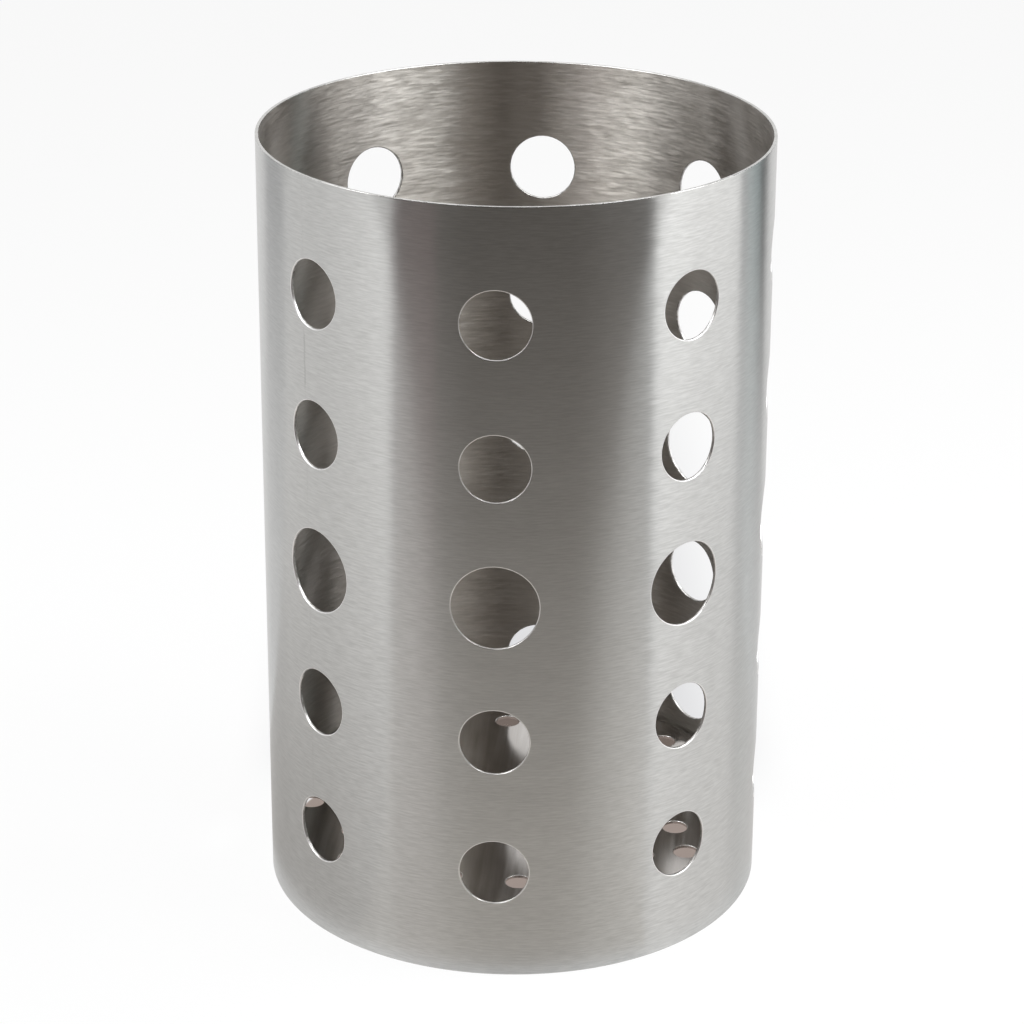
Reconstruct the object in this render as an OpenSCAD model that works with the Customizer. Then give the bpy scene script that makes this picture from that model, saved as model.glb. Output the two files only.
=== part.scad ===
/* [Wall] */
// Outer diameter of the tube
tube_d = 120; // [80:1:200]
// Height of the holder from the bottom rim to the top rim
tube_h = 188; // [140:1:300]
// Thickness of the wall sheet
wall_t = 0.8; // [0.5:0.1:2]
// Bevel that takes the sharp edge off both rims
rim_bevel = 0.2; // [0.05:0.05:0.4]

/* [Wall holes] */
// Number of upright columns of holes around the wall
hole_columns = 8; // [4:1:12]
// Number of rows on each side of the middle row
outer_rows = 2; // [1:1:3]
// Height from one row to the next
row_pitch = 33.5; // [24:0.25:50]
// Diameter of the holes in the outer rows
hole_d = 16; // [8:0.1:24]
// Diameter of the larger holes in the middle row
middle_hole_d = 20; // [8:0.1:30]
// Angle from its even place to where the back right column is cut
back_right_shift = -1.5; // [-5:0.1:5]
// Angle from its even place to where the back column is cut
back_shift = -2.4; // [-5:0.1:5]
// Angle from its even place to where the back left column is cut
back_left_shift = -4.7; // [-5:0.1:5]

/* [Seam] */
// Width of the weld that closes the tube
seam_w = 1.2; // [0.6:0.1:3]
// How far the weld stands proud on the inside
seam_proud = 0.1; // [0.05:0.05:0.2]
// Angle of the weld around the tube, from the front column
seam_angle = -47.8; // [-180:0.1:180]

/* [Base] */
// Height of the top of the base plate above the bottom rim
base_z = 15; // [5:0.5:17]
// Thickness of the base sheet
base_t = 0.8; // [0.5:0.1:2]
// Outer radius of the bend between the plate and its skirt
base_bend_r = 1.4; // [1:0.1:3]
// Height of the turned-down skirt with the bend
skirt_h = 11; // [5:0.5:16]
// Play between the skirt and the wall
base_play = 0.15; // [0.15:0.05:0.5]

/* [Drain holes] */
// Diameter of the drain holes
drain_d = 6; // [3:0.5:10]
// Bevel on the upper edge of the drain holes
drain_bevel = 0.2; // [0.05:0.05:0.3]
// Number of drain holes in the outer ring
drain_outer_count = 10; // [4:1:30]
// Radius of the outer ring of drain holes
drain_outer_r = 50; // [30:0.1:80]
// Angle of the first hole in the outer ring
drain_outer_angle = 25; // [0:0.1:60]
// Number of drain holes in the inner ring
drain_inner_count = 16; // [3:1:20]
// Radius of the inner ring of drain holes
drain_inner_r = 42.5; // [15:0.1:60]
// Angle of the first hole in the inner ring
drain_inner_angle = 6; // [0:0.1:120]

/* [Tack welds] */
// Number of tack welds between the skirt and the wall
tack_count = 6; // [3:1:12]
// Angle of the first tack weld from the front
tack_first_angle = 15; // [0:1:60]
// Length of one tack weld around the wall
tack_length = 7; // [3:0.5:15]
// Height of one tack weld up the wall
tack_leg = 1.2; // [0.5:0.1:3]

/* [Hidden] */
outer_r = tube_d / 2;
inner_r = outer_r - wall_t;
middle_z = tube_h / 2;
column_step = 360 / hole_columns;
column_shifts = [0, 0, 0, back_right_shift, back_shift, back_left_shift];
skirt_r = inner_r - base_play;
skirt_inner_r = skirt_r - base_t;
skirt_z = base_z - skirt_h;
bend_z = base_z - base_bend_r;
bend_r = skirt_r - base_bend_r;
bend_inner_r = base_bend_r - base_t;
tack_sweep = 360 * tack_length / (2 * PI * inner_r);
cut_depth = 4 * wall_t;
drain_cut = base_t;
turn_facets = 180;
hole_facets = 64;
drain_facets = 32;

// Both rims of the sheet are bevelled on the inside and the outside
module tube_profile(bore_r) {
    polygon([
        [bore_r + rim_bevel, 0],
        [outer_r - rim_bevel, 0],
        [outer_r, rim_bevel],
        [outer_r, tube_h - rim_bevel],
        [outer_r - rim_bevel, tube_h],
        [bore_r + rim_bevel, tube_h],
        [bore_r, tube_h - rim_bevel],
        [bore_r, rim_bevel]
    ]);
}

module tube(bore_r) {
    rotate_extrude($fn = turn_facets) tube_profile(bore_r);
}

function column_angle(column) =
    column * column_step + (column < len(column_shifts) ? column_shifts[column] : 0);

module wall_holes() {
    for (column = [0 : hole_columns - 1])
        rotate([0, 0, column_angle(column)])
            for (row = [-outer_rows : outer_rows])
                translate([0, cut_depth - outer_r, middle_z + row * row_pitch])
                    rotate([90, 0, 0])
                        cylinder(h = 2 * cut_depth, d = row == 0 ? middle_hole_d : hole_d,
                                 $fn = hole_facets);
}

// The strip of metal that the weld melts, right through the wall
module seam_strip() {
    rotate([0, 0, seam_angle])
        translate([-seam_w / 2, -outer_r - wall_t, 0])
            cube([seam_w, cut_depth, tube_h]);
}

// Rolled sheet with radially cut round holes, open along the weld
module wall() {
    color("silver")
        difference() {
            tube(inner_r);
            wall_holes();
            seam_strip();
        }
}

// Weld dressed flush outside, cut through by the holes of its column
module seam_weld() {
    color("lightgray")
        difference() {
            intersection() {
                tube(inner_r - seam_proud);
                seam_strip();
            }
            wall_holes();
        }
}

module pan_profile() {
    translate([0, base_z - base_t]) square([bend_r, base_t]);
    translate([skirt_inner_r, skirt_z]) square([base_t, bend_z - skirt_z]);
    translate([bend_r, bend_z])
        intersection() {
            difference() {
                circle(r = base_bend_r, $fn = hole_facets);
                circle(r = bend_inner_r, $fn = hole_facets);
            }
            square([base_bend_r, base_bend_r]);
        }
}

module drain_hole() {
    translate([0, 0, base_z - base_t - drain_cut])
        cylinder(h = base_t + 2 * drain_cut, d = drain_d, $fn = drain_facets);
    translate([0, 0, base_z - drain_bevel])
        cylinder(h = 2 * drain_bevel, d1 = drain_d, d2 = drain_d + 4 * drain_bevel,
                 $fn = drain_facets);
}

module drain_ring(count, ring_r, first_angle) {
    for (index = [0 : count - 1])
        rotate([0, 0, first_angle + index * 360 / count])
            translate([0, -ring_r, 0]) drain_hole();
}

// Pressed plate with a turned-down skirt and two rings of drain holes
module base_pan() {
    color("gainsboro")
        difference() {
            rotate_extrude($fn = turn_facets) pan_profile();
            drain_ring(drain_outer_count, drain_outer_r, drain_outer_angle);
            drain_ring(drain_inner_count, drain_inner_r, drain_inner_angle);
        }
}

// Short fillet welds from the lower edge of the skirt to the wall
module base_tack_welds() {
    color("darkgray")
        for (index = [0 : tack_count - 1])
            rotate([0, 0, tack_first_angle + index * 360 / tack_count - 90 - tack_sweep / 2])
                rotate_extrude(angle = tack_sweep, $fn = turn_facets)
                    polygon([
                        [skirt_inner_r + rim_bevel, skirt_z],
                        [inner_r, skirt_z],
                        [inner_r, skirt_z - tack_leg]
                    ]);
}

wall();
seam_weld();
base_pan();
base_tack_welds();
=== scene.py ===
import math
import random

import bpy
from mathutils import Matrix, Vector


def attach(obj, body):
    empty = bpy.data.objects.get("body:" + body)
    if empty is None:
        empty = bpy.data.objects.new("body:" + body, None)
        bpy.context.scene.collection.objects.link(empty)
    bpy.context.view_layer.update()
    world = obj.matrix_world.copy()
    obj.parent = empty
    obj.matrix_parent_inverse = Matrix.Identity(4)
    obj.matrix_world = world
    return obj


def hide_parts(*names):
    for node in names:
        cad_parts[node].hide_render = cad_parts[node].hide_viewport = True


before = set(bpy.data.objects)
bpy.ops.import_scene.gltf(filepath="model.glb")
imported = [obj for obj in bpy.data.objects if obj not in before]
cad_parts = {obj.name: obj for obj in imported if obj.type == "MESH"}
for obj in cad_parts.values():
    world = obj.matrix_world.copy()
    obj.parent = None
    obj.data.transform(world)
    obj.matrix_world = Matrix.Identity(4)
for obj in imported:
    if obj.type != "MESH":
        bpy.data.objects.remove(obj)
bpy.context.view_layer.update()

MM = 0.001
TAU = 2 * math.pi

# Sizes repeated from the CAD source, in millimetres and degrees
OUTER_R = 60.0
WALL_T = 0.8
INNER_R = OUTER_R - WALL_T
TUBE_H = 188.0
COLUMNS = 8
COLUMN_SHIFTS = (0, 0, 0, -1.5, -2.4, -4.7, 0, 0)
ROWS = (-2, -1, 0, 1, 2)
ROW_PITCH = 33.5
HOLE_R = 8.0
MIDDLE_HOLE_R = 10.0
SEAM_ANGLE = math.radians(-47.8)
SEAM_W = 1.2
SEAM_PROUD = 0.1
BASE_Z = 15.0
BASE_T = 0.8
BASE_BEND_R = 1.4
SKIRT_H = 11.0
BASE_PLAY = 0.15
DRAIN_R = 3.0
DRAIN_INNER = (16, 42.5, 6.0)
DRAIN_OUTER = (10, 50.0, 25.0)
TACKS = 6
TACK_FIRST = 15.0
TACK_LENGTH = 7.0
TACK_LEG = 1.2

# Shapes that only the dressed model has, in millimetres
RIM_ROUND = 0.2
EDGE_ROUND = 0.28
DRAIN_LIP = 0.22
SKIRT_EDGE_ROUND = 0.1
SEAM_LINE_HALF = 0.32
SEAM_LINE_CROWN = 0.012
SEAM_SINK = 0.004
SEAM_END_GAP = 0.3
SEAM_END_TAPER = 0.6

# How finely the meshes are cut
CELL_AZ_STEPS = 18
CELL_Z_STEPS = 14
CELL_RINGS = 6
RIM_BANDS = 4
FILLET_STEPS = 4
RING_STEPS = 320
DRAIN_CELL_STEPS = 12
DRAIN_CELL_RINGS = 4
BEND_STEPS = 10
SKIRT_STEPS = 4
SEAM_ROW = 0.8
SEAM_ACROSS = 6
TACK_ALONG = 40
TACK_AROUND = 8

# The two faces of a sheet: outside and inside, or top and underside
OUTSIDE, INSIDE = FACES = (0, 1)
FACE_SIGN = (1, -1)
WALL_FACE_R = (OUTER_R, INNER_R)
PLATE_FACE_Z = (BASE_Z, BASE_Z - BASE_T)

# Material numbers after those of the two faces
WALL_CUT, WALL_RIM, WALL_EDGE = 2, 3, 4
BASE_LIP = 2


# ---------------------------------------------------------------- meshes

class Shell:
    """Collects points with their own normals, and faces with a material each."""

    def __init__(self):
        self.points = []
        self.normals = []
        self.faces = []
        self.mats = []
        self.grid = {}

    def add(self, point, normal):
        self.points.append([c * MM for c in point])
        self.normals.append(Vector(normal).normalized())
        return len(self.points) - 1

    def on_sheet(self, face, az, z):
        """A point on one face of the rolled sheet."""
        return self.add(on_tube(az, z, WALL_FACE_R[face]), FACE_SIGN[face] * out_of(az))

    def shared(self, face, az, z):
        """The same, but given back again to the next cell that asks for this place."""
        key = (face, round(az % TAU, 5) % round(TAU, 5), round(z, 4))
        if key not in self.grid:
            self.grid[key] = self.on_sheet(face, az, z)
        return self.grid[key]

    def level_ring(self, r, z, normal_r, normal_z):
        ring = []
        for i in range(RING_STEPS):
            o = out_of(i * TAU / RING_STEPS)
            ring.append(self.add((r * o.x, r * o.y, z), (normal_r * o.x, normal_r * o.y, normal_z)))
        return ring

    def quad(self, a, b, c, d, mat):
        ring = [a, b, c, d]
        face = [v for i, v in enumerate(ring) if v not in ring[:i]]
        if len(face) > 2:
            self.faces.append(face)
            self.mats.append(mat)

    def strip(self, ring_a, ring_b, mat, closed=True):
        count = len(ring_a)
        for i in range(count if closed else count - 1):
            j = (i + 1) % count
            self.quad(ring_a[i], ring_a[j], ring_b[j], ring_b[i], mat)

    def fill(self, mesh):
        mesh.from_pydata(self.points, [], self.faces)
        mesh.polygons.foreach_set("material_index", self.mats)
        mesh.polygons.foreach_set("use_smooth", [True] * len(self.faces))

    def build(self, name, materials):
        """Makes the mesh, with every face turned to the side of its points' normals."""
        mesh = bpy.data.meshes.new(name)
        for m in materials:
            mesh.materials.append(m)
        self.fill(mesh)
        wrong = []
        for poly in mesh.polygons:
            mean = sum((self.normals[v] for v in poly.vertices), Vector())
            if poly.normal.dot(mean) < 0:
                wrong.append(poly.index)
        if wrong:
            for i in wrong:
                self.faces[i].reverse()
            mesh.clear_geometry()
            self.fill(mesh)
        mesh.update()
        mesh.normals_split_custom_set_from_vertices([tuple(n) for n in self.normals])
        obj = bpy.data.objects.new(name, mesh)
        bpy.context.scene.collection.objects.link(obj)
        return obj


def on_tube(az, z, r):
    return (r * math.sin(az), -r * math.cos(az), z)


def out_of(az):
    return Vector((math.sin(az), -math.cos(az), 0.0))


def along(az):
    return Vector((math.cos(az), math.sin(az), 0.0))


def row_height(row):
    return TUBE_H / 2 + row * ROW_PITCH


def row_hole_r(row):
    return MIDDLE_HOLE_R if row == 0 else HOLE_R


def cell_border(half_u, half_v, steps_u, steps_v):
    """Points round a rectangle of the unrolled sheet, starting at its right middle."""
    right = [(half_u, half_v * 2 * i / steps_v) for i in range(steps_v // 2)]
    top = [(half_u - 2 * half_u * i / steps_u, half_v) for i in range(steps_u)]
    left = [(-half_u, half_v - 2 * half_v * i / steps_v) for i in range(steps_v)]
    bottom = [(-half_u + 2 * half_u * i / steps_u, -half_v) for i in range(steps_u)]
    rest = [(half_u, -half_v + half_v * 2 * i / steps_v) for i in range(steps_v // 2)]
    return right + top + left + bottom + rest


def edge_steps():
    """(angle, face) over a rounded edge, from the first face to the second."""
    angles = [a / FILLET_STEPS * math.pi / 2 for a in range(1, FILLET_STEPS + 1)]
    return [(a, OUTSIDE) for a in angles] + [(a, INSIDE) for a in reversed(angles)]


def wall_cell(s, column, row):
    """One hole of the wall, the sheet round it and its edge, rounded over as deburred."""
    az0 = column * TAU / COLUMNS
    shift = math.radians(COLUMN_SHIFTS[column])
    across, ahead = along(az0 + shift), out_of(az0 + shift)
    z0, hole_r = row_height(row), row_hole_r(row)
    border = cell_border(math.pi / COLUMNS, ROW_PITCH / 2, CELL_AZ_STEPS, CELL_Z_STEPS)
    turns = [math.atan2(dz, (da - shift) * OUTER_R) for da, dz in border]
    rho = hole_r + EDGE_ROUND
    ends = []
    for face in FACES:
        r = WALL_FACE_R[face]
        near = [(shift + math.asin(rho * math.cos(t) / r), rho * math.sin(t)) for t in turns]
        previous = None
        for k in range(CELL_RINGS):
            f = (k / CELL_RINGS) ** 1.4
            ring = [s.on_sheet(face, az0 + na + (ba - na) * f, z0 + nz + (bz - nz) * f)
                    for (na, nz), (ba, bz) in zip(near, border)]
            if previous is None:
                ends.append(ring)
            else:
                s.strip(previous, ring, face)
            previous = ring
        s.strip(previous, [s.shared(face, az0 + da, z0 + dz) for da, dz in border], face)
    previous = ends[OUTSIDE]
    for a, face in edge_steps():
        rho = hole_r + EDGE_ROUND * (1 - math.sin(a))
        r = WALL_FACE_R[face] - FACE_SIGN[face] * (EDGE_ROUND * (1 - math.cos(a)))
        ring = []
        for t in turns:
            x = rho * math.cos(t)
            flat = across * x + ahead * math.sqrt(r * r - x * x)
            surface = flat.normalized() * FACE_SIGN[face]
            inward = -(across * math.cos(t) + Vector((0, 0, math.sin(t))))
            ring.append(s.add(flat + Vector((0, 0, z0 + rho * math.sin(t))),
                              surface * math.cos(a) + inward * math.sin(a)))
        s.strip(previous, ring, WALL_EDGE if face == OUTSIDE else WALL_CUT)
        previous = ring
    s.strip(previous, ends[INSIDE], WALL_CUT)


def wall_rim(s, z_edge, z_rim):
    """The sheet from the outermost row of cells to a rim, and the rounded rim."""
    half_az = math.pi / COLUMNS
    turns = [half_az + i * 2 * half_az / CELL_AZ_STEPS for i in range(CELL_AZ_STEPS * COLUMNS)]
    up = 1 if z_rim > z_edge else -1
    stop = z_rim - up * RIM_ROUND
    ends = []
    for face in FACES:
        previous = [s.shared(face, az, z_edge) for az in turns]
        for k in range(1, RIM_BANDS + 1):
            z = z_edge + (stop - z_edge) * k / RIM_BANDS
            ring = [s.shared(face, az, z) for az in turns]
            s.strip(previous, ring, face)
            previous = ring
        ends.append(previous)
    previous = ends[OUTSIDE]
    for a, face in edge_steps():
        z = z_rim - up * RIM_ROUND * (1 - math.sin(a))
        r = WALL_FACE_R[face] - FACE_SIGN[face] * (RIM_ROUND * (1 - math.cos(a)))
        ring = []
        for az in turns:
            surface = FACE_SIGN[face] * out_of(az)
            ring.append(s.add(on_tube(az, z, r),
                              surface * math.cos(a) + Vector((0, 0, up)) * math.sin(a)))
        s.strip(previous, ring, WALL_RIM)
        previous = ring
    s.strip(previous, ends[INSIDE], WALL_RIM)


def make_wall(mats):
    """The rolled sheet with its holes and both rims."""
    s = Shell()
    for column in range(COLUMNS):
        for row in ROWS:
            wall_cell(s, column, row)
    wall_rim(s, row_height(ROWS[0]) - ROW_PITCH / 2, 0.0)
    wall_rim(s, row_height(ROWS[-1]) + ROW_PITCH / 2, TUBE_H)
    return s.build("perforated_wall", mats)


def seam_point(s, face, u, z, lo, hi):
    """u goes from -1 to 1 over the width of the weld, lo and hi are the heights of its ends."""
    half = SEAM_LINE_HALF if face == OUTSIDE else SEAM_W / 2
    width = half * (1 + 0.12 * math.sin(z * 3.1 + face))
    wander = 0.05 * math.sin(z * 0.9) + 0.04 * math.sin(z * 2.3 + 1)
    az = SEAM_ANGLE + (u * width + wander) / OUTER_R
    end = min(1.0, (z - lo) / SEAM_END_TAPER, (hi - z) / SEAM_END_TAPER)
    crown = max(0.0, 1 - u * u) * max(0.0, end)
    if face == OUTSIDE:
        r = OUTER_R + SEAM_LINE_CROWN * crown - SEAM_SINK
        normal = out_of(az) + along(az) * (0.10 * u)
    else:
        ripple = 0.75 + 0.25 * math.sin(z * 5.2)
        r = INNER_R - SEAM_PROUD * crown * ripple + SEAM_SINK
        normal = -out_of(az) + along(az) * (0.30 * u)
    return s.add(on_tube(az, z, r), normal)


def make_seam(mats):
    """The dressed weld: a fine line outside and a low bead inside, cut by the holes it crosses."""
    s = Shell()
    off_centre = OUTER_R * math.sin(abs(SEAM_ANGLE + TAU / COLUMNS))
    spans = []
    start = 0.0
    for row in ROWS:
        reach = math.sqrt(row_hole_r(row) ** 2 - off_centre ** 2) + EDGE_ROUND
        spans.append((start, row_height(row) - reach))
        start = row_height(row) + reach
    spans.append((start, TUBE_H))
    for z0, z1 in spans:
        lo, hi = z0 + SEAM_END_GAP, z1 - SEAM_END_GAP
        count = max(4, int((hi - lo) / SEAM_ROW))
        for face in FACES:
            rows = []
            for i in range(count + 1):
                z = lo + (hi - lo) * i / count
                rows.append([seam_point(s, face, j / SEAM_ACROSS * 2 - 1, z, lo, hi)
                             for j in range(SEAM_ACROSS + 1)])
            for a, b in zip(rows, rows[1:]):
                s.strip(a, b, face, closed=False)
    return s.build("seam_weld_line", mats)


def drain_cell(s, az0, ring_r, mid_r, border):
    """One drain hole, the plate round it and its rounded lip."""
    ahead, across = out_of(az0), along(az0)
    hole = ahead * ring_r
    far = [out_of(az0 + da) * (mid_r + dr) for da, dr in border]
    turns = [math.atan2((p - hole).dot(ahead), (p - hole).dot(across)) for p in far]
    rays = [across * math.cos(t) + ahead * math.sin(t) for t in turns]
    ends = []
    for face in FACES:
        previous = None
        for k in range(DRAIN_CELL_RINGS + 1):
            f = (k / DRAIN_CELL_RINGS) ** 1.3
            ring = []
            for p, ray in zip(far, rays):
                q = (hole + ray * (DRAIN_R + DRAIN_LIP)).lerp(p, f)
                ring.append(s.add((q.x, q.y, PLATE_FACE_Z[face]), (0, 0, FACE_SIGN[face])))
            if previous is None:
                ends.append(ring)
            else:
                s.strip(previous, ring, face)
            previous = ring
    previous = ends[OUTSIDE]
    for a, face in edge_steps():
        rho = DRAIN_R + DRAIN_LIP * (1 - math.sin(a))
        z = PLATE_FACE_Z[face] - FACE_SIGN[face] * (DRAIN_LIP * (1 - math.cos(a)))
        level = Vector((0, 0, math.cos(a) * FACE_SIGN[face]))
        ring = []
        for ray in rays:
            p = hole + ray * rho
            ring.append(s.add((p.x, p.y, z), level - ray * math.sin(a)))
        s.strip(previous, ring, BASE_LIP)
        previous = ring
    s.strip(previous, ends[INSIDE], BASE_LIP)


def quarter(r0, z0, r, angles, sign):
    """Profile points (r, z, normal r, normal z) round a quarter bend."""
    return [(r0 + r * math.sin(a), z0 + r * math.cos(a), sign * math.sin(a), sign * math.cos(a))
            for a in angles]


def make_base(mats):
    """The pressed plate: drain holes with rounded lips, a bend at the edge and a skirt."""
    s = Shell()
    skirt_r = INNER_R - BASE_PLAY
    bend_r = skirt_r - BASE_BEND_R

    # Rings of the plate, two of which are made of cells with a drain hole each
    plain_rings = ((0.0, 14.0), (14.0, 27.0), (27.0, 38.8), (54.0, bend_r))
    drain_rings = ((38.8, 46.25, DRAIN_INNER), (46.25, 54.0, DRAIN_OUTER))
    for face in FACES:
        z, up = PLATE_FACE_Z[face], FACE_SIGN[face]
        centre = s.add((0, 0, z), (0, 0, up))
        for r0, r1 in plain_rings:
            inner = [centre] * RING_STEPS if r0 == 0 else s.level_ring(r0, z, 0, up)
            s.strip(inner, s.level_ring(r1, z, 0, up), face)
    for r0, r1, (count, ring_r, first) in drain_rings:
        border = cell_border(math.pi / count, (r1 - r0) / 2, RING_STEPS // count, DRAIN_CELL_STEPS)
        for index in range(count):
            az0 = math.radians(first) + index * TAU / count
            drain_cell(s, az0, ring_r, (r0 + r1) / 2, border)

    bend_z = BASE_Z - BASE_BEND_R
    bottom = BASE_Z - SKIRT_H
    bore = skirt_r - BASE_T
    angles = [i / BEND_STEPS * math.pi / 2 for i in range(BEND_STEPS + 1)]
    edge = SKIRT_EDGE_ROUND
    profile = quarter(bend_r, bend_z, BASE_BEND_R, angles, 1)
    profile += [(skirt_r, bend_z + (bottom + edge - bend_z) * k / SKIRT_STEPS, 1, 0)
                for k in range(1, SKIRT_STEPS + 1)]
    profile += [(skirt_r - edge, bottom, 0.3, -1), (bore + edge, bottom, -0.3, -1),
                (bore, bottom + edge, -1, 0), (bore, bend_z, -1, 0)]
    profile += quarter(bend_r, bend_z, BASE_BEND_R - BASE_T, reversed(angles[:-1]), -1)
    previous = None
    for point in profile:
        ring = s.level_ring(*point)
        if previous is not None:
            s.strip(previous, ring, INSIDE)
        previous = ring
    return s.build("drain_base", mats)


def make_tacks(mats):
    """Fillet tacks: short rippled beads from the skirt's lower edge to the wall."""
    s = Shell()
    rnd = random.Random(7)
    skirt_z = BASE_Z - SKIRT_H
    half = TACK_LENGTH / 2 / INNER_R
    for index in range(TACKS):
        az0 = math.radians(TACK_FIRST) + index * TAU / TACKS
        phase = rnd.random() * TAU
        rows = []
        for i in range(TACK_ALONG + 1):
            u = i / TACK_ALONG * 2 - 1
            az = az0 + u * half
            size = math.sqrt(max(0.0, 1 - u ** 4)) * (1 + 0.08 * math.sin(i * 1.35 + phase)) * 0.98
            ring = []
            for j in range(TACK_AROUND + 1):
                a = j / TACK_AROUND * math.pi / 2
                r = INNER_R - (WALL_T + 0.05) * size * math.cos(a)
                z = skirt_z - TACK_LEG * size * math.sin(a)
                ring.append(s.add(on_tube(az, z, r),
                                  -out_of(az) * math.cos(a) + Vector((0, 0, -math.sin(a)))))
            rows.append(ring)
        for a, b in zip(rows, rows[1:]):
            s.strip(a, b, OUTSIDE, closed=False)
    return s.build("base_tack_beads", mats)


# ---------------------------------------------------------------- materials

class Nodes:
    """Small helper that lays out a node tree."""

    def __init__(self, name):
        self.mat = bpy.data.materials.new(name)
        self.mat.use_nodes = True
        self.start(self.mat.node_tree, "OutputMaterial")

    def start(self, tree, output):
        self.tree = tree
        self.tree.nodes.clear()
        self.out = self.node(output)

    def node(self, kind, **settings):
        n = self.tree.nodes.new("ShaderNode" + kind)
        for k, v in settings.items():
            setattr(n, k, v)
        return n

    def link(self, a, b):
        self.tree.links.new(a, b)

    def put(self, v, socket):
        """Gives a socket a value, or links another socket to it."""
        if isinstance(v, (int, float, tuple)):
            socket.default_value = v
        else:
            self.link(v, socket)

    def value(self, operation, *inputs, clamp=False):
        n = self.node("Math", operation=operation, use_clamp=clamp)
        for socket, v in zip(n.inputs, inputs):
            self.put(v, socket)
        return n.outputs[0]

    def vector_math(self, operation, *inputs):
        n = self.node("VectorMath", operation=operation)
        for socket, v in zip(n.inputs, inputs):
            self.put(v, socket)
        return n

    def scaled_offset(self, value, factor):
        """factor times how far value lies from one half."""
        return self.value("MULTIPLY", self.value("SUBTRACT", value, 0.5), factor)

    def mixed(self, first, second, share):
        """A sum with the given share of the second value."""
        return self.value("ADD", self.value("MULTIPLY", first, 1 - share),
                          self.value("MULTIPLY", second, share))

    def spread(self, value, low, high, to_low=0.0, to_high=1.0):
        n = self.node("MapRange", interpolation_type="SMOOTHSTEP")
        for name, v in (("Value", value), ("From Min", low), ("From Max", high),
                        ("To Min", to_low), ("To Max", to_high)):
            self.put(v, n.inputs[name])
        return n.outputs[0]

    def noise(self, vector, scale, detail, rough, distortion=0.0):
        n = self.node("TexNoise")
        for name, v in (("Vector", vector), ("Scale", scale), ("Detail", detail),
                        ("Roughness", rough), ("Distortion", distortion)):
            self.put(v, n.inputs[name])
        return n.outputs["Fac"]

    def vector(self, x, y, z):
        n = self.node("CombineXYZ")
        for socket, v in zip(n.inputs, (x, y, z)):
            self.put(v, socket)
        return n.outputs[0]

    def blend(self, low, high, fac, blend_type="MIX"):
        """Goes from low to high, each a colour or a socket."""
        n = self.node("Mix", data_type="RGBA", blend_type=blend_type)
        self.put(fac, n.inputs["Factor"])
        for name, v in (("A", low), ("B", high)):
            self.put((*v, 1) if isinstance(v, tuple) else v, n.inputs[name])
        return n.outputs["Result"]

    def position(self):
        return self.node("NewGeometry").outputs["Position"]

    def split(self, vector):
        n = self.node("SeparateXYZ")
        self.link(vector, n.inputs[0])
        return n.outputs

    def round_tube(self):
        """Distance round the tube and height, both in millimetres."""
        x, y, z = self.split(self.node("TexCoord").outputs["Object"])
        s, c = math.sin(SEAM_ANGLE), math.cos(SEAM_ANGLE)
        # turned so that the jump of the angle lies under the weld
        u = self.value("ADD", self.value("MULTIPLY", x, s), self.value("MULTIPLY", y, -c))
        v = self.value("ADD", self.value("MULTIPLY", x, c), self.value("MULTIPLY", y, s))
        turn = self.value("ARCTAN2", v, self.value("MULTIPLY", u, -1.0))
        return self.value("MULTIPLY", turn, OUTER_R), self.value("MULTIPLY", z, 1 / MM)

    def finish(self, shader):
        self.link(shader.outputs[0], self.out.inputs[0])
        return self.mat


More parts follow.
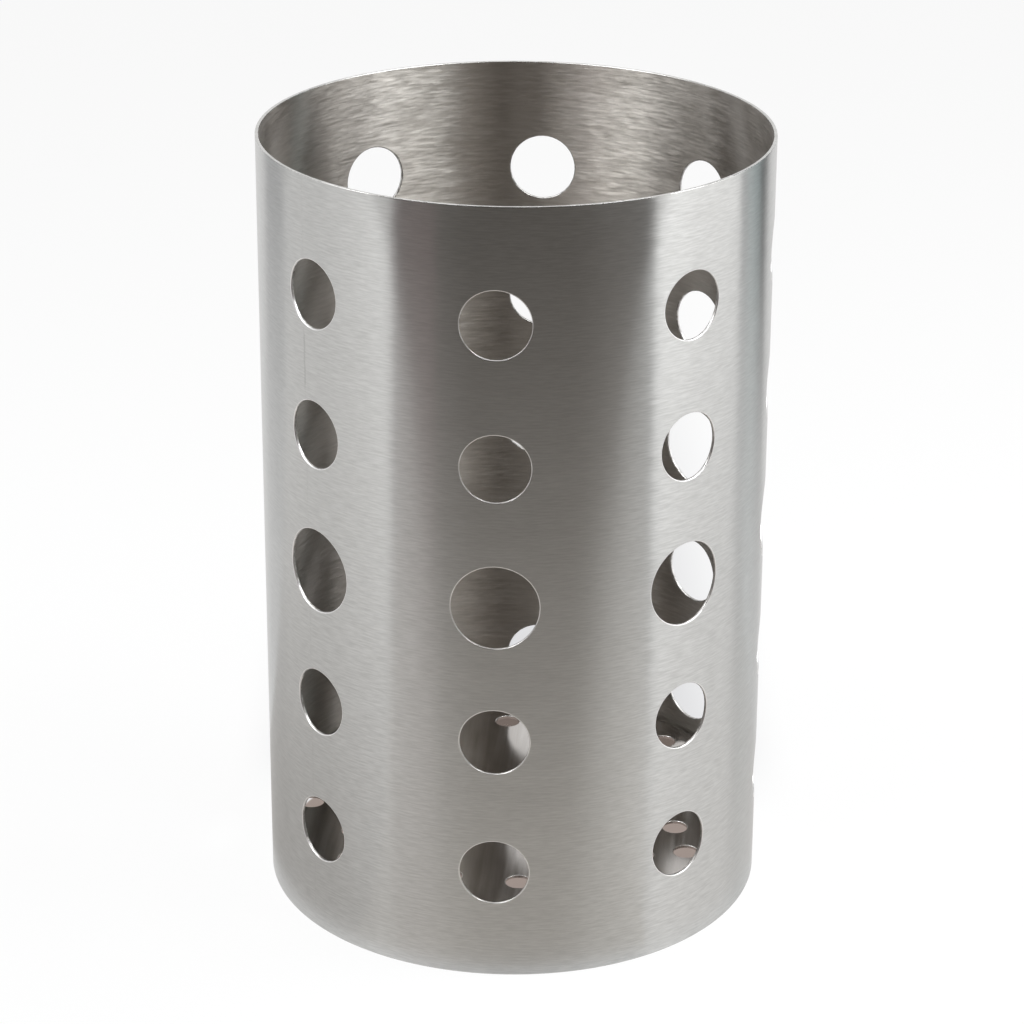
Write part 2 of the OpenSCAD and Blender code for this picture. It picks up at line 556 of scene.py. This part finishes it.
def brushed(name, dark, light, rough, rough_spread, sway, tilt, coarse, fine_size, mid_size,
            hair=0.0, shade=None):
    """Steel brushed round the tube: grooves lie level, so reflections smear up and down.

    sway turns the surface from side to side in level streaks, which makes the bands' edges uneven.
    tilt leans it up and down. coarse is the share of the longer streaks in the grain. fine_size
    and mid_size are the length and the height of both kinds of streaks in millimetres. hair adds
    short streaks that lean by themselves, and shade changes the colour with the height.
    """
    t = Nodes(name)
    arc, high = t.round_tube()

    def streak(per_arc, per_high, seed, detail, roughness=0.6):
        across, up = t.value("MULTIPLY", arc, per_arc), t.value("MULTIPLY", high, per_high)
        return t.noise(t.vector(across, up, seed), 1.0, detail, roughness)

    fine = streak(1 / fine_size[0], 1 / fine_size[1], 0.0, 3)
    mid = streak(1 / mid_size[0], 1 / mid_size[1], 3.0, 6, 0.7)
    wide = streak(0.03, 0.05, 9.0, 3, 0.5)
    rows = streak(0.05, 0.22, 21.0, 5, 0.68)
    grain = t.mixed(fine, mid, coarse)
    shader = t.node("BsdfPrincipled")
    color = t.blend(dark, light, t.spread(grain, 0.28, 0.72))
    if shade is not None:
        color = shade(t, high, color)
    t.link(color, shader.inputs["Base Color"])
    shader.inputs["Metallic"].default_value = 1.0
    total = t.mixed(grain, t.mixed(wide, rows, 0.6), 0.5)
    t.link(t.spread(total, 0.32, 0.68, rough - rough_spread, rough + rough_spread),
           shader.inputs["Roughness"])
    shader.inputs["Anisotropic"].default_value = 1.0
    shader.inputs["Anisotropic Rotation"].default_value = 0.25
    tangent = t.node("Tangent", direction_type="RADIAL", axis="Z")
    t.link(tangent.outputs[0], shader.inputs["Tangent"])

    normal = t.node("NewGeometry").outputs["Normal"]
    level = t.vector_math("CROSS_PRODUCT", (0.0, 0.0, 1.0), normal).outputs["Vector"]
    side = t.node("VectorMath", operation="SCALE")
    t.link(level, side.inputs[0])
    t.link(t.scaled_offset(t.mixed(mid, rows, 0.25), sway), side.inputs["Scale"])
    leaning = t.scaled_offset(t.mixed(grain, rows, 0.3), tilt)
    if hair:
        leaning = t.value("ADD", leaning, t.scaled_offset(streak(0.22, 1.9, 31.0, 2), hair))
    turn = t.vector_math("ADD", side.outputs["Vector"], t.vector(0.0, 0.0, leaning))
    turned = t.vector_math("ADD", normal, turn.outputs["Vector"])
    unit = t.vector_math("NORMALIZE", turned.outputs["Vector"])
    t.link(unit.outputs["Vector"], shader.inputs["Normal"])
    return t.finish(shader)


def weld_shade(t, high, color):
    """The dressed weld is nearly gone, apart from a darker line between the upper two rows."""
    low = t.spread(high, 136.0, 140.0)
    top = t.spread(high, 149.0, 153.0, 1.0, 0.0)
    patch = t.value("MULTIPLY", low, top)
    strength = t.value("ADD", t.value("MULTIPLY", patch, 0.14), 0.02)
    dimmed = t.blend((1.0, 1.0, 1.0), (0.2, 0.19, 0.18), strength)
    return t.blend(color, dimmed, 1.0, "MULTIPLY")


def plain_steel(name, dark, light, rough, rough_spread, scale, bump, stretch=1.0):
    """Rolled or cut steel with cloudy smears and specks, drawn out along Y by stretch."""
    t = Nodes(name)
    place = t.node("Mapping")
    place.inputs["Scale"].default_value = (1.0, 1.0 / stretch, 1.0)
    t.link(t.node("TexCoord").outputs["Object"], place.inputs["Vector"])
    cloud = t.noise(place.outputs["Vector"], scale, 5, 0.6, 0.3)
    shader = t.node("BsdfPrincipled")
    t.link(t.blend(dark, light, t.spread(cloud, 0.3, 0.7)), shader.inputs["Base Color"])
    shader.inputs["Metallic"].default_value = 1.0
    t.link(t.spread(cloud, 0.3, 0.7, rough - rough_spread, rough + rough_spread),
           shader.inputs["Roughness"])
    b = t.node("Bump")
    b.inputs["Strength"].default_value = 1.0
    b.inputs["Distance"].default_value = bump * MM
    t.link(cloud, b.inputs["Height"])
    t.link(b.outputs[0], shader.inputs["Normal"])
    return t.finish(shader)


OUTSIDE_BRUSHING = dict(dark=(0.445, 0.443, 0.433), light=(0.563, 0.561, 0.549),
                        rough=0.289, rough_spread=0.014, sway=0.06, tilt=0.20,
                        coarse=0.25, fine_size=(4.0, 0.40), mid_size=(14.0, 1.1))
outer_steel = brushed("brushed_steel_outside", **OUTSIDE_BRUSHING)
inner_steel = brushed("brushed_steel_inside", (0.42, 0.395, 0.366), (0.54, 0.512, 0.478),
                      rough=0.34, rough_spread=0.05, sway=0.05, tilt=0.75,
                      coarse=0.5, fine_size=(5.0, 0.75), mid_size=(15.0, 1.8), hair=0.75)
weld_line = brushed("dressed_weld_steel", **OUTSIDE_BRUSHING, shade=weld_shade)
cut_steel = plain_steel("cut_edge_steel", (0.26, 0.25, 0.24), (0.66, 0.65, 0.64),
                        0.36, 0.10, 900.0, 0.012)
rim_steel = plain_steel("rim_steel", (0.48, 0.475, 0.46), (0.58, 0.575, 0.56),
                        0.26, 0.05, 300.0, 0.002)
edge_steel = plain_steel("hole_edge_steel", (0.68, 0.67, 0.66), (0.80, 0.79, 0.78),
                         0.34, 0.04, 300.0, 0.002)
base_steel = plain_steel("bright_base_steel", (0.46, 0.435, 0.415), (0.56, 0.54, 0.52),
                         0.14, 0.04, 500.0, 0.002, 20.0)
base_under = plain_steel("base_underside_steel", (0.48, 0.465, 0.45), (0.56, 0.55, 0.54),
                         0.22, 0.08, 120.0, 0.01)
base_lip = plain_steel("drain_lip_steel", (0.60, 0.59, 0.58), (0.72, 0.71, 0.70),
                       0.18, 0.06, 600.0, 0.01)
weld_bead = plain_steel("weld_bead_steel", (0.30, 0.28, 0.26), (0.52, 0.50, 0.47),
                        0.34, 0.12, 500.0, 0.04)

wall = make_wall([outer_steel, inner_steel, cut_steel, rim_steel, edge_steel])
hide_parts("wall")
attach(wall, "root")

seam = make_seam([weld_line, weld_bead])
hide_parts("seam_weld")
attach(seam, "root")

base = make_base([base_steel, base_under, base_lip])
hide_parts("base_pan")
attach(base, "root")

tacks = make_tacks([weld_bead])
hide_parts("base_tack_welds")
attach(tacks, "root")

# ---------------------------------------------------------------- stage
# From here on sizes are in metres. The camera, the lamps and the cards share a frame of their own,
# which is turned by VIEW degrees from the holder's.

VIEW = 4.076
TURN = Matrix.Rotation(math.radians(VIEW), 4, "Z")
FLOOR_HALF = 6
# Painted shade colours for the floor: dim and warm under the holder, grey behind it
UNDER_SHADE = (0.37, 0.305, 0.275)
BEHIND_SHADE = (0.66, 0.66, 0.675)
WHITE = (1.0, 1.0, 1.0)


def flat_panel(name, corners, material):
    mesh = bpy.data.meshes.new(name)
    mesh.from_pydata([tuple(c) for c in corners], [], [list(range(len(corners)))])
    mesh.materials.append(material)
    mesh.update()
    obj = bpy.data.objects.new(name, mesh)
    bpy.context.scene.collection.objects.link(obj)
    return obj


def seen_directly(t):
    """1 for what is seen straight, mirrored or through glass, and 0 for light on other things."""
    path = t.node("LightPath")
    seen = t.value("ADD", path.outputs["Is Camera Ray"], path.outputs["Is Glossy Ray"], clamp=True)
    return t.value("ADD", seen, path.outputs["Is Transmission Ray"], clamp=True)


def pale_floor():
    """White, with the holder's faint real shadow, a painted grey shadow behind it and a painted dim
    warm shade under it.
    """
    t = Nodes("pale_floor")
    plain = t.node("BsdfDiffuse")
    plain.inputs["Color"].default_value = (0.86, 0.855, 0.85, 1)
    x, y, _ = t.split(t.position())
    away = t.vector_math("LENGTH", t.vector(x, y, 0.0)).outputs["Value"]
    # Painted shade: the floor inside the wall takes the dim warm colour
    under = t.spread(away, (INNER_R - 1) * MM, INNER_R * MM)
    # Painted shadow: a soft grey patch straight behind the holder, narrow across and fading further
    # away
    behind = t.spread(y, 0.02, 0.06)
    sideways = t.value("ADD", x, t.value("MULTIPLY", y, math.tan(math.radians(VIEW))))
    beside = t.spread(t.value("ABSOLUTE", sideways), 0.036, 0.076, 1.0, 0.0)
    near = t.spread(away, 0.02, 0.50, 1.0, 0.0)
    shaded = t.value("MULTIPLY", t.value("MULTIPLY", behind, beside), near)
    glow = t.node("Emission")
    t.link(t.blend(UNDER_SHADE, t.blend(WHITE, BEHIND_SHADE, shaded), under), glow.inputs["Color"])
    mix = t.node("MixShader")
    t.link(t.value("MULTIPLY", seen_directly(t), 0.90), mix.inputs["Fac"])
    t.link(plain.outputs[0], mix.inputs[1])
    t.link(glow.outputs[0], mix.inputs[2])
    return t.finish(mix)


def matte(name, color):
    t = Nodes(name)
    shader = t.node("BsdfDiffuse")
    shader.inputs["Color"].default_value = (*color, 1)
    return t.finish(shader)


def flag(name, corners, material):
    """A card out of the picture, given in the camera's own frame. Only the metal sees it."""
    obj = flat_panel(name, [TURN @ Vector(c) for c in corners], material)
    obj.visible_camera = False
    obj.visible_diffuse = False
    obj.visible_shadow = False
    return obj


def upright(name, start, end, low, high, material):
    return flag(name, [(*start, low), (*end, low), (*end, high), (*start, high)], material)


def painted_floor_glow(name, near_color, far_color, near, far, sides=None):
    """A glowing card that only the metal sees: a painted reflection of a lit floor, bright near the
    holder's axis and fading with the distance from it.

    sides gives three colours each for the left and the right side: near the holder, further out,
    and where they have faded.
    """
    t = Nodes(name)
    shader = t.node("Emission")
    place = t.position()
    away = t.vector_math("LENGTH", place).outputs["Value"]
    color = t.blend(near_color, far_color, t.spread(away, near, far))
    if sides is not None:
        x, y, _ = t.split(place)
        az = t.value("ARCTAN2", x, t.value("MULTIPLY", y, -1.0))
        turn = t.value("SUBTRACT", az, math.radians(VIEW + 4))
        for sign, (close, wide, faded) in zip((-1, 1), sides):
            weight = t.spread(t.value("MULTIPLY", turn, sign), math.radians(18), math.radians(58))
            rise = t.blend(close, wide, t.spread(away, 0.09, 0.24))
            color = t.blend(color, t.blend(rise, faded, t.spread(away, 0.26, 0.44)), weight)
    t.link(color, shader.inputs["Color"])
    return t.finish(shader)


def at(az, r, height):
    """A place at az degrees from the front, to the right."""
    a = math.radians(az)
    return (r * math.sin(a), -r * math.cos(a), height)


def arc_of(start, end, r, height, steps):
    return [at(start + (end - start) * i / steps, r, height) for i in range(steps + 1)]


def floor_fan(name, start, end, outer, material):
    """A card on the floor with its inner edge round the holder."""
    fan = arc_of(start, end, FAN_NEAR, FAN_LIFT, 12)
    return flag(name, fan + [(*c, FAN_LIFT) for c in outer], material)


def visor(name, start, end, near, far, height, material):
    """A level flag just above the rim that keeps the high lamps off the front of the wall."""
    inner = arc_of(start, end, near, height, 16)
    outer = arc_of(start, end, far, height, 16)
    obj = flag(name, inner + outer[::-1], material)
    obj.visible_shadow = True
    return obj


flat_panel("floor", [(x * FLOOR_HALF, y * FLOOR_HALF, 0)
                     for x, y in ((-1, -1), (1, -1), (1, 1), (-1, 1))], pale_floor())

FRONT_Y = -0.35
FAN_NEAR = 0.064
FAN_LIFT = 0.0004
LEFT_X, RIGHT_X = -0.445, 0.60
LEFT_CORNER = (LEFT_X, FRONT_Y)
RIGHT_CORNER = (RIGHT_X, FRONT_Y)
LEFT_BACK = (LEFT_X, 0.22)
RIGHT_BACK = (RIGHT_X, 0.22)
ROSY_END = (-0.22, FRONT_Y)
GREY_END = (-0.143, FRONT_Y)
LOW_TOP, TALL_TOP = 0.28, 1.1
BLACK_START, BLACK_END = (0.485, 0.33), (0.40, 0.43)

dark = matte("dark_card", (0.05, 0.042, 0.037))
dim = matte("dim_card", (0.11, 0.09, 0.077))
grey = matte("grey_card", (0.33, 0.28, 0.28))
upright("front_low_card", ROSY_END, RIGHT_CORNER, 0.0, LOW_TOP, dark)
upright("front_left_card", LEFT_CORNER, ROSY_END, 0.0, LOW_TOP,
        matte("rosy_card", (0.14, 0.088, 0.092)))
upright("front_tall_card", GREY_END, RIGHT_CORNER, LOW_TOP, TALL_TOP, dim)
upright("front_grey_card", LEFT_CORNER, GREY_END, LOW_TOP, TALL_TOP, grey)
visor("front_visor", -39, 43, 0.0625, 0.13, 0.2, dark)

# Painted floor glow colours: FADED far off, BRIGHT_SIDE on the right of the holder
FADED = (0.08, 0.075, 0.07)
BRIGHT_SIDE = (1.08, 1.045, 1.005)
# Painted reflection: glowing cards on the floor round the holder stand in for lamp light on the
# floor
floor_fan("front_floor_card", -42, 34, [RIGHT_CORNER, LEFT_CORNER],
          painted_floor_glow("front_floor_glow", (0.77, 0.735, 0.69), (0.04, 0.034, 0.03), 0.18, 0.41,
                 [((0.68, 0.655, 0.63), (1.06, 1.03, 0.99), FADED),
                  (BRIGHT_SIDE, BRIGHT_SIDE, FADED)]))
floor_fan("left_floor_card", -140, -42, [LEFT_CORNER, LEFT_BACK],
          painted_floor_glow("left_floor_glow", (0.64, 0.62, 0.60), (1.02, 1.01, 1.0), 0.10, 0.28))
floor_fan("right_floor_card", 34, 140, [RIGHT_BACK, RIGHT_CORNER],
          painted_floor_glow("right_floor_glow", (0.95, 0.935, 0.92), (0.95, 0.95, 0.95), 0.10, 0.32))
upright("right_card", BLACK_START, BLACK_END, 0.0, 0.9, matte("black_card", (0.01, 0.01, 0.012)))
upright("right_grey_card", (RIGHT_X, 0.20), BLACK_START, 0.0, 0.9,
        matte("cloudy_card", (0.36, 0.36, 0.37)))
flag("right_dark_floor", [(*c, FAN_LIFT) for c in ((0.405, 0.275), BLACK_START, BLACK_END,
                                                   (0.334, 0.359))], dark)
upright("left_pale_card", (-0.536, 0.250), (-0.418, 0.420), 0.0, 0.8,
        matte("pale_card", (0.54, 0.54, 0.55)))
upright("right_pale_card", (0.536, 0.250), (0.418, 0.420), 0.0, 0.8,
        matte("cool_card", (0.47, 0.56, 0.57)))


def panel_lamp(name, size, radiance, color=WHITE):
    """A flat lamp. radiance is how bright its face is, 1 being white."""
    data = bpy.data.lights.new(name, "AREA")
    data.shape = "RECTANGLE"
    data.size, data.size_y = size
    data.energy = radiance * math.pi * size[0] * size[1]
    data.color = color
    obj = bpy.data.objects.new(name, data)
    bpy.context.scene.collection.objects.link(obj)
    obj.visible_camera = False
    return obj


def softbox(name, spot, size, radiance):
    """A soft panel that faces the middle of the holder."""
    obj = panel_lamp(name, size, radiance)
    place = TURN @ Vector(spot)
    obj.location = place
    obj.rotation_mode = "QUATERNION"
    obj.rotation_quaternion = (place - Vector(LAMP_AIM)).to_track_quat("Z", "Y")


def overhead(name, start, az, width, radiance):
    """A level panel over the holder. Its inner edge runs from above start towards az."""
    near, far = OVERHEAD_REACH
    obj = panel_lamp(name, (width, far - near), radiance, COOL)
    a = math.radians(az)
    ahead = Vector((math.sin(a), -math.cos(a), 0))
    aside = Vector((math.cos(a), math.sin(a), 0)) * (1 if az > 0 else -1)
    middle = Vector((*start, OVERHEAD_Z)) + ahead * (near + far) / 2 + aside * width / 2
    obj.location = TURN @ middle
    obj.rotation_euler = (0, 0, a + math.radians(VIEW))


LAMP_AIM = (0, 0, 0.17)
OVERHEAD_Z = 0.55
OVERHEAD_REACH = (0.17, 0.52)
COOL = (0.95, 0.985, 1.0)
RIGHT_OF_AXIS = (0.016, 0.057)
LEFT_OF_AXIS = (-0.021, 0.055)
softbox("left_high_softbox", at(-77, 0.62, 0.85), (0.42, 0.60), 3.2)
softbox("right_high_softbox", at(98, 0.62, 0.85), (0.62, 0.60), 2.15)
softbox("right_low_softbox", at(91, 0.8, 0.22), (0.94, 0.42), 1.2)
overhead("left_overhead", RIGHT_OF_AXIS, -37, 0.22, 6.2)
overhead("right_overhead", LEFT_OF_AXIS, 37, 0.32, 8.0)
overhead("thin_overhead", RIGHT_OF_AXIS, -23, 0.05, 4.0)


class WorldNodes(Nodes):
    """The world's node tree: white to look at and a soft grey light on the object."""

    def __init__(self, world):
        world.use_nodes = True
        self.start(world.node_tree, "OutputWorld")
        mix = self.node("MixShader")
        self.link(seen_directly(self), mix.inputs["Fac"])
        self.link(self.background((0.80, 0.80, 0.80), 0.35), mix.inputs[1])
        self.link(self.background(WHITE, 1.0), mix.inputs[2])
        self.link(mix.outputs[0], self.out.inputs[0])

    def background(self, color, strength):
        n = self.node("Background")
        n.inputs["Color"].default_value = (*color, 1)
        n.inputs["Strength"].default_value = strength
        return n.outputs[0]


bpy.context.scene.world = bpy.data.worlds.new("studio")
WorldNodes(bpy.context.scene.world)

# ---------------------------------------------------------------- camera

# From a fit to the photo's rims, sides and holes, in metres and radians
CAMERA_DISTANCE = 0.72385
CAMERA_HEIGHT = 0.39767
CAMERA_PITCH = 0.377297
CAMERA_YAW = -0.000842
CAMERA_ROLL = 0.004917
CAMERA_SHIFT = -0.07
FOCAL_PIXELS = 3262.0
IMAGE_PIXELS = 1024
SENSOR_MM = 36.0

cam_data = bpy.data.cameras.new("camera")
cam_data.sensor_width = SENSOR_MM
cam_data.lens = FOCAL_PIXELS / IMAGE_PIXELS * cam_data.sensor_width
cam_data.shift_y = CAMERA_SHIFT
cam_data.clip_start = 0.01
cam_data.clip_end = 50.0
cam = bpy.data.objects.new("camera", cam_data)
bpy.context.scene.collection.objects.link(cam)
forward = Vector((math.sin(CAMERA_YAW) * math.cos(CAMERA_PITCH),
                  math.cos(CAMERA_YAW) * math.cos(CAMERA_PITCH), -math.sin(CAMERA_PITCH)))
right = Vector((math.cos(CAMERA_YAW), -math.sin(CAMERA_YAW), 0.0))
up = right.cross(forward)
rolled_right = right * math.cos(CAMERA_ROLL) + up * math.sin(CAMERA_ROLL)
rolled_up = up * math.cos(CAMERA_ROLL) - right * math.sin(CAMERA_ROLL)
basis = Matrix((rolled_right, rolled_up, -forward)).transposed()
view_turn = TURN.to_3x3()
cam.matrix_world = (Matrix.Translation(view_turn @ Vector((0, -CAMERA_DISTANCE, CAMERA_HEIGHT)))
                    @ (view_turn @ basis).to_4x4())
bpy.context.scene.camera = cam

bpy.context.scene.view_settings.view_transform = "Standard"
